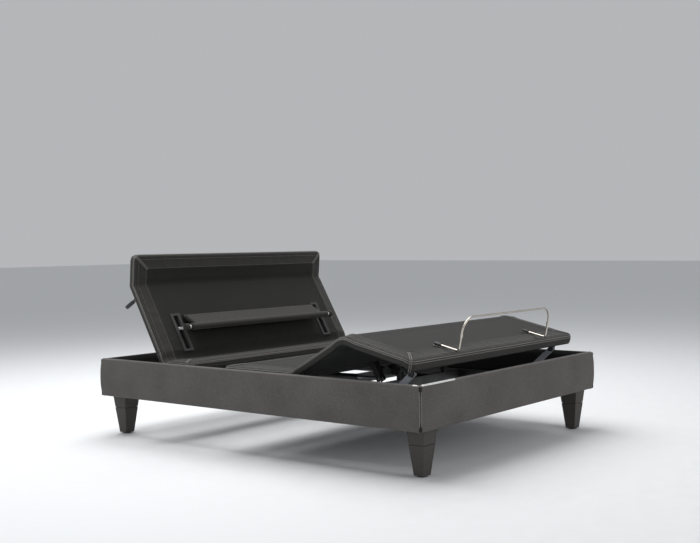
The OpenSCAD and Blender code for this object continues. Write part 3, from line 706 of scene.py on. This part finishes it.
def fill(obj, held, cap, pressure=4.0, frames=20):
    """Lets pressure swell the cloth between its held points, by no more than cap."""
    before = co_of(obj)
    group = obj.vertex_groups.new(name="held")
    group.add([int(i) for i in np.flatnonzero(held)], 1.0, "REPLACE")
    cloth = obj.modifiers.new("fill", "CLOTH")
    settings = cloth.settings
    settings.quality = 4
    settings.mass = 0.3
    settings.tension_stiffness = 12
    settings.compression_stiffness = 12
    settings.bending_stiffness = 0.4
    settings.use_pressure = True
    settings.uniform_pressure_force = pressure
    settings.shrink_min = -0.012
    settings.vertex_group_mass = "held"
    settings.effector_weights.gravity = 0
    cloth.collision_settings.use_collision = False
    cloth.point_cache.frame_start, cloth.point_cache.frame_end = 1, frames
    scene = bpy.context.scene
    for k in range(1, frames + 1):
        scene.frame_set(k)
    evaluated = obj.evaluated_get(bpy.context.evaluated_depsgraph_get())
    after = np.zeros(len(before) * 3)
    evaluated.data.vertices.foreach_get("co", after)
    move = after.reshape(-1, 3) - before
    size = np.linalg.norm(move, axis=1)[:, None] + 1e-9
    move *= cap * np.tanh(size / cap) / size
    obj.modifiers.remove(cloth)
    obj.vertex_groups.clear()
    scene.frame_set(1)
    set_co(obj, before + move)


def crease_end(obj, flat, s_end):
    """Keeps the sewn end square under subdivision, so that it meets the next cover."""
    crease = obj.data.attributes.new("crease_edge", "FLOAT", "EDGE")
    at_end = np.abs(flat[:, 1] - s_end) < 0.5 * MM
    crease.data.foreach_set("value", [float(at_end[list(e.vertices)].all()) for e in obj.data.edges])


def subdivide(obj):
    """One level of subdivision, applied."""
    level = obj.modifiers.new("smooth", "SUBSURF")
    level.levels = level.render_levels = 1
    evaluated = obj.evaluated_get(bpy.context.evaluated_depsgraph_get())
    mesh = bpy.data.meshes.new_from_object(evaluated)
    obj.modifiers.clear()
    mesh.name = obj.name
    obj.data = mesh


SEAM_PAST = 60 * MM                     # where the cover of a fold's far side is sewn on
PILLOW_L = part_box("pillow_board")[1].z - PILLOW_PIVOT[1]
SEAT_L = SEAT_HIGH.y - THIGH_PIVOT[0]
BRIDGE_L = BACK_PIVOT[0] - BRIDGE_LOW.y
BACK_L = float(np.linalg.norm(PILLOW_PIVOT - BACK_PIVOT))
THIGH_L = float((KNEE_PIVOT - THIGH_PIVOT) @ THIGH_PLANE.along)
FOOT_L = float((np.array([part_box("foot_board")[0].y, 0]) - KNEE_PIVOT)[0] / FOOT_PLANE.along[0])

SECTION_REACH, KNEE_REACH, PILLOW_REACH = 45 * MM, 70 * MM, 28 * MM
seat_fold = Fold(ROOT_PLANE, THIGH_ANGLE, SECTION_REACH, ("root", "thigh_section"))
knee_plane = Plane(KNEE_PIVOT + BOARD_T * THIGH_PLANE.out, THIGH_PLANE.along, THIGH_PLANE.out)
knee_fold = Fold(knee_plane, -KNEE_ANGLE, KNEE_REACH, ("thigh_section", "foot_section"), -BOARD_T)
back_fold = Fold(BRIDGE_PLANE, BACK_ANGLE, SECTION_REACH, ("head_carriage", "back_section"))
pillow_plane = Plane(PILLOW_PIVOT, BACK_PLANE.along, BACK_PLANE.out)
pillow_fold = Fold(pillow_plane, PILLOW_ANGLE, PILLOW_REACH, ("back_section", "pillow_section"))

BEZEL_HALF = 32 * MM                    # half the width of a lumbar slot's bezel
SLOT_HALF = 16 * MM
SLOT_START, SLOT_L = 60 * MM, 190 * MM  # along the back section, from its hinge
SLOT_SPARE = 1 * MM
SLOT_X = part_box("lumbar_slots")[1].x - BEZEL_HALF
slot_low = SLOT_START - BACK_L
slot_pit = (SLOT_X - SLOT_HALF, SLOT_X + SLOT_HALF,
            slot_low - SLOT_SPARE, slot_low + SLOT_L + SLOT_SPARE)

FOOT_RIM, HEAD_RIM = 18 * MM, 9 * MM    # roundings of the two ends' edges
FOOT_ROLL = 18 * MM
BRIDGE_BAND, PILLOW_BAND = 60 * MM, 74 * MM
seat_cover = Cover("seat_cover", seat_fold, SEAM_PAST, -SEAT_L, FOOT_RIM)
leg_cover = Cover("leg_cover", knee_fold, SEAM_PAST - THIGH_L, FOOT_L, FOOT_RIM, FOOT_ROLL)
bridge_cover = Cover("bridge_cover", back_fold, SEAM_PAST, -BRIDGE_L, HEAD_RIM, band_end=BRIDGE_BAND)
head_cover = Cover("head_cover", pillow_fold, SEAM_PAST - BACK_L, PILLOW_L, HEAD_RIM,
                   band_end=PILLOW_BAND, pits=(slot_pit,))

for cover, replaced in (
    (seat_cover, ("seat_pad", "seat_board")),
    (leg_cover, ("thigh_pad", "thigh_board", "foot_pad", "foot_board")),
    (bridge_cover, ("bridge_pad", "bridge_board")),
    (head_cover, ("back_pad", "back_board", "pillow_pad", "pillow_board")),
):
    cover.finish(cover.build(), replaced)
    cover.trim()

# Rails: cloth over a board, slightly crowned, mitred at the corners with piping

RAIL_T = RAIL_HIGH.x - FOOT_RAIL_HIGH.x
RAIL_CROWN = 3.5 * MM
CROWN_POWER = 2.6                       # above 2, the crowned face is flatter in its middle
RAIL_EDGE = 2.5 * MM                    # how far the outer face is pulled in at its edges
RAIL_ROUND = 8 * MM                     # rounding along the rail's outer edges
RAIL_END_R = 10 * MM                    # rounding at the rail's ends
RAIL_DRAW = 0.8                         # share of the end's rounding by which the face is drawn in
RAIL_STEPS, FACE_STEPS = 60, 14
MITRE_GAP = 5.5 * MM
RIPPLE = 0.5 * MM                       # unevenness of the stretched cloth
RAIL_PIPING_R = 2 * MM
RAIL_PIPING_BACK = 2.5 * MM             # from the rail's end to the middle of its piping
RAIL_PIPING_IN = 1.8 * MM


def rail_profile():
    """The rail's section as (outward distance from the inner face, height), once round."""
    z0, z1 = RAIL_LOW.z, RAIL_HIGH.z
    r = RAIL_ROUND
    out = [(0.0, z0)]
    outer = RAIL_T - RAIL_EDGE
    out += [(outer - r + r * sine, z0 + r - r * cosine) for sine, cosine in quarter(6)]
    for k in range(1, FACE_STEPS):
        t = k / FACE_STEPS
        z = z0 + r + (z1 - z0 - 2 * r) * t
        out.append((outer + (RAIL_CROWN + RAIL_EDGE) * (1 - abs(2 * t - 1) ** CROWN_POWER), z))
    out += [(outer - r + r * cosine, z1 - r + r * sine) for sine, cosine in quarter(6)]
    out += [(0.0, z1 - (z1 - z0) * k / 6) for k in range(6)]
    return out


def rail(name, centre, along, outward, inner_half, node):
    """A rail whose inner face is centred at centre; along and outward are unit directions."""
    profile = rail_profile()
    along, outward, centre = map(np.array, (along, outward, centre))
    stations = [(RAIL_END_R * (1 - cosine), sine) for sine, cosine in quarter(7)]
    rows = [(-1, d, full) for d, full in stations]
    rows += [(0, k / RAIL_STEPS, 1.0) for k in range(1, RAIL_STEPS)]
    rows += [(1, d, full) for d, full in reversed(stations)]
    points, flat = [], []
    for edge, d, full in rows:
        for out, z in profile:
            limit = inner_half + out - MITRE_GAP
            at = edge * (limit - d) if edge else (2 * d - 1) * (limit - RAIL_END_R)
            reach = out - RAIL_END_R * RAIL_DRAW * (1 - full) * (out / RAIL_T)
            if out > RAIL_T * 0.8:
                reach += RIPPLE * math.sin(at * 23 + z * 31) * math.sin(at * 7.3 + 1.7)
            p = centre + along * at + outward * reach
            points.append((p[0], p[1], z))
            flat.append((at, z, out))
    # The dark lining shows on the inner face and on the two ends
    m = len(profile)
    inner = [int(profile[k][0] < MM and profile[(k + 1) % m][0] < MM) for k in range(m)]
    slots = inner * (len(rows) - 1) + [1, 1]
    faces = ring_faces(len(rows), m)
    obj = mesh_object(name, points, faces, [RAIL_CLOTH, DUST_CLOTH_AND_SHADE], slots, flat)
    flip_if_inside_out(obj)
    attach(obj, "root")
    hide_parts(node)
    # Piping up the outer edge of both ends
    piping = Parts()
    for edge in (-1, 1):
        path = []
        for out, z in profile:
            if out > RAIL_T * 0.3:
                at = edge * (inner_half + out - MITRE_GAP - RAIL_PIPING_BACK)
                p = centre + along * at + outward * (out - RAIL_PIPING_IN)
                path.append((p[0], p[1], z))
        piping.tube(path, RAIL_PIPING_R)
    trim = piping.piece(name + "_piping", [PIPING_CLOTH])
    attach(trim, "root")


IN_X, IN_Y = FOOT_RAIL_HIGH.x, -FOOT_RAIL_HIGH.y
rail("rail_cover_left", (-IN_X, 0, 0), (0, 1, 0), (-1, 0, 0), IN_Y, "side_rail_left")
rail("rail_cover_right", (IN_X, 0, 0), (0, 1, 0), (1, 0, 0), IN_Y, "side_rail_right")
rail("rail_cover_foot", (0, -IN_Y, 0), (1, 0, 0), (0, -1, 0), IN_X, "foot_rail")
rail("rail_cover_head", (0, IN_Y, 0), (1, 0, 0), (0, 1, 0), IN_X, "head_rail")

SHADE_SHEET_IN, SHADE_SHEET_OUT = 2 * MM, 4 * MM  # how far the dark sheets of painted shade stay inside the rails' faces
SHADE_SHEET_LOW, SHADE_SHEET_HIGH = 3 * MM, 4 * MM
SHADE_SHEET_HALF = 0.8 * MITRE_GAP


def corner_shade_sheets():
    """Painted shade: dark sheets in the gaps between the rails' ends, which darken the narrow mitres.
    """
    shade_sheets = Parts()
    near, far, half = SHADE_SHEET_IN, RAIL_T - SHADE_SHEET_OUT, SHADE_SHEET_HALF
    levels = (RAIL_LOW.z + SHADE_SHEET_LOW, RAIL_HIGH.z - SHADE_SHEET_HIGH)
    corners = [(near - half, near + half), (near + half, near - half),
               (far + half, far - half), (far - half, far + half)]
    for side in (-1, 1):
        for end in (-1, 1):
            points = [(side * (IN_X + a), end * (IN_Y + b), z) for z in levels for a, b in corners]
            faces = [(3, 2, 1, 0), (4, 5, 6, 7)]
            faces += [(k, (k + 1) % 4, (k + 1) % 4 + 4, k + 4) for k in range(4)]
            if side * end < 0:
                faces = [tuple(reversed(face)) for face in faces]
            shade_sheets.add(points, faces)
    # black cloth laid in the mitre gaps as painted shade
    obj = shade_sheets.piece("corner_shade_sheets", [DUST_CLOTH_AND_SHADE])
    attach(obj, "root")


corner_shade_sheets()

HIGHLIGHT_R, HIGHLIGHT_BIT_R = 4.6 * MM, 3.6 * MM
HIGHLIGHT_TAPER = 6 * MM                     # length over which the strip's ends thin out
HIGHLIGHT_SUNK = 0.5 * MM                    # how far the strip's middle lies below the rails' tops
HIGHLIGHT_BIT_PAST = 14 * MM                 # how far the short strip runs past the foot rail


def corner_trim():
    """A painted highlight along the top of the foot rail from one corner, and a short one round it:
    bright strips lying where light catches the rail's top edge.
    """
    top = RAIL_HIGH.z - HIGHLIGHT_SUNK
    strip = Parts()
    at = -IN_Y - RAIL_T * 0.74
    run = np.linspace(-IN_X - RAIL_T * 0.45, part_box("rail_corner_trim")[1].x, 40)
    ends = np.minimum(run - run[0], run[-1] - run) / HIGHLIGHT_TAPER
    widths = HIGHLIGHT_R * np.sqrt(np.clip(1 - (1 - np.clip(ends, 0.02, 1)) ** 2, 0, 1))
    strip.tube([(x, at, top) for x in run], widths, sides=12)
    bit = np.linspace(-IN_Y - RAIL_T * 0.3, -IN_Y + HIGHLIGHT_BIT_PAST, 12)
    strip.tube([(-IN_X - RAIL_T * 0.72, y, top) for y in bit], HIGHLIGHT_BIT_R, sides=12)
    # bright strips painted as the highlight on the rail's top edge
    obj = strip.piece("corner_highlight_strip", [TRIM_AND_HIGHLIGHT])
    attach(obj, "root")
    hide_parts("rail_corner_trim")


corner_trim()

# Lumbar support: a padded flap, its bar with end pieces on steel pins, and the pegs behind the back

LUMBAR_HINGE = joint_point("lumbar_lift")
BAR_AXIS = joint_point("lumbar_strut_swing")
FLAP_IN = 10 * MM                       # the cover's sides stay this far inside the CAD flap
FLAP_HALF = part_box("lumbar_flap")[1].x - FLAP_IN
FLAP_T_HALF, FLAP_CROWN = 8 * MM, 1.5 * MM
FLAP_WAVE = 0.35 * MM                   # unevenness of the flap's cloth
FLAP_ROWS = 80
BAR_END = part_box("lumbar_bar")[1].x
BAR_R = 18 * MM
BAR_WAVE = 0.3 * MM
BAR_STEP = 14 * MM
BAR_LIP = 6 * MM                        # length of a roll's rounded end
STRUT_IN = 9 * MM                       # half the length of a strut's slider, its widest part
STRUT_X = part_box("lumbar_struts")[1].x - STRUT_IN
STRUT_ROOM = 8 * MM
PIN_R, PIN_HALF = 6 * MM, 12 * MM
SEAM_R, SEAM_LIFT = 1.3 * MM, 0.4 * MM


def lumbar_pad():
    """The flap, the bar in its sewn cover and the covered end pieces."""
    down = BAR_AXIS - LUMBAR_HINGE
    length = float(np.linalg.norm(down))
    plane = Plane(LUMBAR_HINGE, down / length, turned(down / length, math.pi / 2))
    if plane.out[0] > 0:
        plane.out = -plane.out
    thick = FLAP_T_HALF
    section = []
    for k in range(9):
        a = math.pi / 2 + math.pi * k / 8
        section.append((thick * math.cos(a), thick * math.sin(a)))
    n = 8
    reach = length - BAR_R * 0.6
    faces_h = [thick + FLAP_CROWN * math.sin(math.pi * k / n) for k in range(n + 1)]
    section += [(reach * k / n, -faces_h[k]) for k in range(1, n + 1)]
    section += [(reach * (n - k) / n, faces_h[k]) for k in range(n)]
    parts = Parts()
    points, flat = [], []
    rows = np.linspace(-FLAP_HALF, FLAP_HALF, FLAP_ROWS)
    for x in rows:
        wave = FLAP_WAVE * math.sin(x * 61)
        for s, h in section:
            points.append((x, s, h + math.copysign(wave, h)))
            flat.append((x, s, h))
    parts.add(plane.place(points), ring_faces(len(rows), len(section)), flat)

    def roll(start, end):
        """A padded roll with rounded ends, from start to end along the bar."""
        lip = [(0, 0.72), (1 * MM, 0.88), (3 * MM, 0.97), (BAR_LIP, 1.0)]
        profile = [(start + d, BAR_R * k) for d, k in lip]
        count = max(2, int((end - start) / BAR_STEP))
        for k in range(1, count):
            x = start + BAR_LIP + (end - start - 2 * BAR_LIP) * k / count
            profile.append((x, BAR_R + BAR_WAVE * math.sin(x * 47)))
        profile += [(end - d, BAR_R * k) for d, k in reversed(lip)]
        parts.turned((0, *BAR_AXIS), (1, 0, 0), profile, sides=36)

    roll(-STRUT_X + STRUT_ROOM, STRUT_X - STRUT_ROOM)
    roll(STRUT_X + STRUT_ROOM, BAR_END)
    roll(-BAR_END, -STRUT_X - STRUT_ROOM)
    obj = parts.piece("lumbar_pad", [BAND_CLOTH])
    flip_if_inside_out(obj)
    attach(obj, "lumbar_support")
    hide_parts("lumbar_flap", "lumbar_bar")
    # Seams where the flap meets the bar
    seams = Parts()
    for h in (1, -1):
        line = [(x, length - BAR_R * 0.93, h * (thick + SEAM_LIFT)) for x in rows[1:-1]]
        seams.tube(line, SEAM_R)
    trim = seams.piece("lumbar_pad_seams", [DARK_PIPING], plane.place)
    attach(trim, "lumbar_support")


def lumbar_pins():
    """The steel pins between the padded bar and its end pieces."""
    pins = Parts()
    ends = [(-PIN_HALF, PIN_R), (PIN_HALF, PIN_R)]
    for side in (-1, 1):
        pins.turned((side * STRUT_X, *BAR_AXIS), (1, 0, 0), ends)
    obj = pins.piece("lumbar_pins", [CHROME])
    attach(obj, "lumbar_support")


PEG_FROM_TOP = 68 * MM                  # from the pillow hinge down the back section
PEG_L, PEG_BARE = 92 * MM, 28 * MM      # whole length, and what stands bare before the sleeve
PEG_FLANGE_R, PEG_ROD_R, PEG_SLEEVE_R, PEG_TIP_R = 11 * MM, 8 * MM, 10 * MM, 7.5 * MM


def stop_sleeves():
    """The rubber pegs behind the back section: a flange, a rod and a sleeve with a rounded tip."""
    sleeves = Parts()
    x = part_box("rear_stops")[1].x - PEG_FLANGE_R
    profile = [(0, PEG_FLANGE_R), (3 * MM, PEG_FLANGE_R), (5 * MM, PEG_ROD_R), (PEG_BARE, PEG_ROD_R),
               (PEG_BARE + 3 * MM, PEG_SLEEVE_R), (PEG_L - 4 * MM, PEG_SLEEVE_R), (PEG_L, PEG_TIP_R)]
    for side in (-1, 1):
        at = BACK_PLANE.place([(side * x, BACK_L - PEG_FROM_TOP, -BOARD_T)])[0]
        sleeves.turned(at, (0, *-BACK_PLANE.out), profile)
    obj = sleeves.piece("rear_stop_sleeves", [BLACK_PLASTIC])
    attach(obj, "back_section")
    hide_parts("rear_stops")


lumbar_pad()
lumbar_pins()
stop_sleeves()

# Sockets, grommets and painted shadow marks on the foot section

COLLAR_R = 6.5 * MM                     # radius of the collars on the wire's legs
SOCKET_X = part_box("retainer_bar")[1].x - COLLAR_R
SOCKET_S = FOOT_L - 90 * MM
GROMMET_S = SOCKET_S - 8 * MM
GROMMET_HALF_W, GROMMET_HALF_L = 17 * MM, 24 * MM
GROMMET_R = 3.2 * MM
GROMMET_H, GROMMET_DISH = 2.2 * MM, 0.8 * MM
GROMMET_SIDES = 28
SHADOW_MARK_IN = 34 * MM                       # from a socket to the painted shadow mark on the border band
SHADOW_MARK_START, SHADOW_MARK_RUN, SHADOW_MARK_LEAN = 38 * MM, 28 * MM, 5 * MM
SHADOW_MARK_R, SHADOW_MARK_END_R = 2.4 * MM, 0.4 * MM


def foot_details():
    """The dished grommets that the wire's sockets stand in, and short dark marks on the band, painted
    as the shadows of the wire's legs.
    """
    grommets = Parts()
    face = BOARD_T + PAD_T
    for side in (-1, 1):
        ring = []
        for k in range(GROMMET_SIDES):
            a = 2 * math.pi * k / GROMMET_SIDES
            ring.append((side * SOCKET_X + GROMMET_HALF_W * math.cos(a),
                         GROMMET_S + GROMMET_HALF_L * math.sin(a), face + GROMMET_H))
        grommets.tube(ring, GROMMET_R, closed=True)
        plate = [(x, s, z + 0.2 * MM) for x, s, z in ring]
        middle = (side * SOCKET_X, GROMMET_S, face + GROMMET_H - GROMMET_DISH)
        n = GROMMET_SIDES
        grommets.add(plate + [middle], [(k, (k + 1) % n, n) for k in range(n)])
    obj = grommets.piece("retainer_grommets", [BEZEL_PLASTIC], FOOT_PLANE.place)
    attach(obj, "foot_section")
    shadow_marks = Parts()
    for side in (-1, 1):
        x = side * (SOCKET_X - SHADOW_MARK_IN)
        path, widths = [], []
        for k in np.linspace(0, 1, 9):
            s = FOOT_L - SHADOW_MARK_START + SHADOW_MARK_RUN * k
            h = BOARD_T + float(leg_cover.top(x, s)) + 0.2 * MM
            path.append((x + side * SHADOW_MARK_LEAN * k * k, s, h))
            widths.append(SHADOW_MARK_R * math.sin(math.pi * min(max(k, 0.06), 0.94)) + SHADOW_MARK_END_R)
        shadow_marks.tube(path, np.array(widths), flatten=0.4)
    # dark marks that paint the shadows of the wire's legs on the band
    obj = shadow_marks.piece("band_shadow_marks", [DUST_CLOTH_AND_SHADE], FOOT_PLANE.place)
    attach(obj, "foot_section")


foot_details()

# Finishes of the CAD pieces that stay in view

FINISHES = {
    LEG_CLOTH: ("leg_risers", "legs"),
    BLACK_PLASTIC: ("leg_glides", "control_box", "power_supply", "head_motor", "tilt_motor",
                    "foot_motor", "retainer_sockets"),
    BEZEL_PLASTIC: ("lumbar_slots",),
    ZINC: ("leg_bolts", "seat_hinges", "bridge_hinges", "back_hinges", "pillow_hinges", "thigh_hinges",
           "slide_channels", "lift_arms", "head_motor_rod", "foot_motor_rod",
           "tilt_motor_rod"),
    CHROME: ("retainer_bar",),
    FRAME_PAINT: ("corner_brackets", "frame_side_left", "frame_side_right", "frame_head_tube",
                  "frame_foot_tube", "seat_cross_tubes", "lift_cross_tube", "link_cross_tube",
                  "pivot_bearings", "support_posts", "carriage_frame", "back_brackets", "thigh_crank",
                  "foot_hinges"),
    PALE_PLASTIC: ("carriage_shoes", "lift_rollers"),
    LINK_PAINT: ("foot_links",),
    TRIM_AND_HIGHLIGHT: ("lumbar_struts",),
}
for material, names in FINISHES.items():
    for name in names:
        node = frame["nodes"][name]
        if not node.material_slots:
            node.data.materials.append(material)
        for material_slot in node.material_slots:
            material_slot.material = material

# Studio: pale floor, soft light, the camera


FLOOR_HALF = 40
FLOOR_STEPS = 24
LIGHT_AIM = (0, 0, 0.3)
WORLD_COLOUR, WORLD_STRENGTH = (0.92, 0.94, 0.97, 1), 0.5


def floor():
    places = np.linspace(-FLOOR_HALF, FLOOR_HALF, FLOOR_STEPS + 1)
    points = [(x, y, 0) for y in places for x in places]
    n = len(places)
    faces = [(j * n + i, j * n + i + 1, (j + 1) * n + i + 1, (j + 1) * n + i)
             for j in range(FLOOR_STEPS) for i in range(FLOOR_STEPS)]
    paint = painted("floor_paint", (0.74, 0.75, 0.76), rough=0.7, grain=0.01, bump=0.02, wear=0.02)
    mesh_object("studio_floor", points, faces, [paint])


def area_light(name, at, size, power, colour=(1, 1, 1)):
    light = bpy.data.lights.new(name, "AREA")
    light.shape = "RECTANGLE"
    light.size, light.size_y = size
    light.energy = power
    light.color = colour
    obj = bpy.data.objects.new(name, light)
    obj.location = at
    obj.rotation_euler = (Vector(LIGHT_AIM) - Vector(at)).to_track_quat("-Z", "Y").to_euler()
    bpy.context.scene.collection.objects.link(obj)


def studio():
    floor()
    area_light("overhead", at=(0.3, 1.5, 4.1), size=(4.5, 4.5), power=250)
    area_light("front_fill", at=(0.8, -5.5, 1.8), size=(3.5, 2.2), power=50, colour=(1, 0.97, 0.94))
    area_light("side_fill", at=(-5.5, 0.8, 1.6), size=(3.5, 2.2), power=30, colour=(0.96, 0.98, 1))
    world = bpy.data.worlds.new("studio_air")
    world.use_nodes = True
    background = world.node_tree.nodes["Background"]
    background.inputs["Color"].default_value = WORLD_COLOUR
    background.inputs["Strength"].default_value = WORLD_STRENGTH
    bpy.context.scene.world = world


CAMERA_AT = (-4.155, -3.497, 0.970)
CAMERA_YAW = -54.41                     # from +Y towards +X, in degrees
CAMERA_PITCH = 1.63                     # downwards, in degrees
CAMERA_ROLL = -0.66                     # about the line of sight, in degrees
CAMERA_LENS = 54.17
CAMERA_SHIFT = (-0.114, 0.0)
CAMERA_CLIP = (0.05, 60)


def camera():
    data = bpy.data.cameras.new("studio_camera")
    data.lens, data.sensor_width = CAMERA_LENS, 36
    data.shift_x, data.shift_y = CAMERA_SHIFT
    data.clip_start, data.clip_end = CAMERA_CLIP
    obj = bpy.data.objects.new("studio_camera", data)
    obj.location = CAMERA_AT
    level = Euler((math.radians(90 - CAMERA_PITCH), 0, math.radians(CAMERA_YAW))).to_matrix()
    obj.rotation_euler = (level @ Matrix.Rotation(math.radians(CAMERA_ROLL), 3, "Z")).to_euler()
    bpy.context.scene.collection.objects.link(obj)
    bpy.context.scene.camera = obj


studio()
camera()
bpy.context.scene.view_settings.view_transform = "Standard"
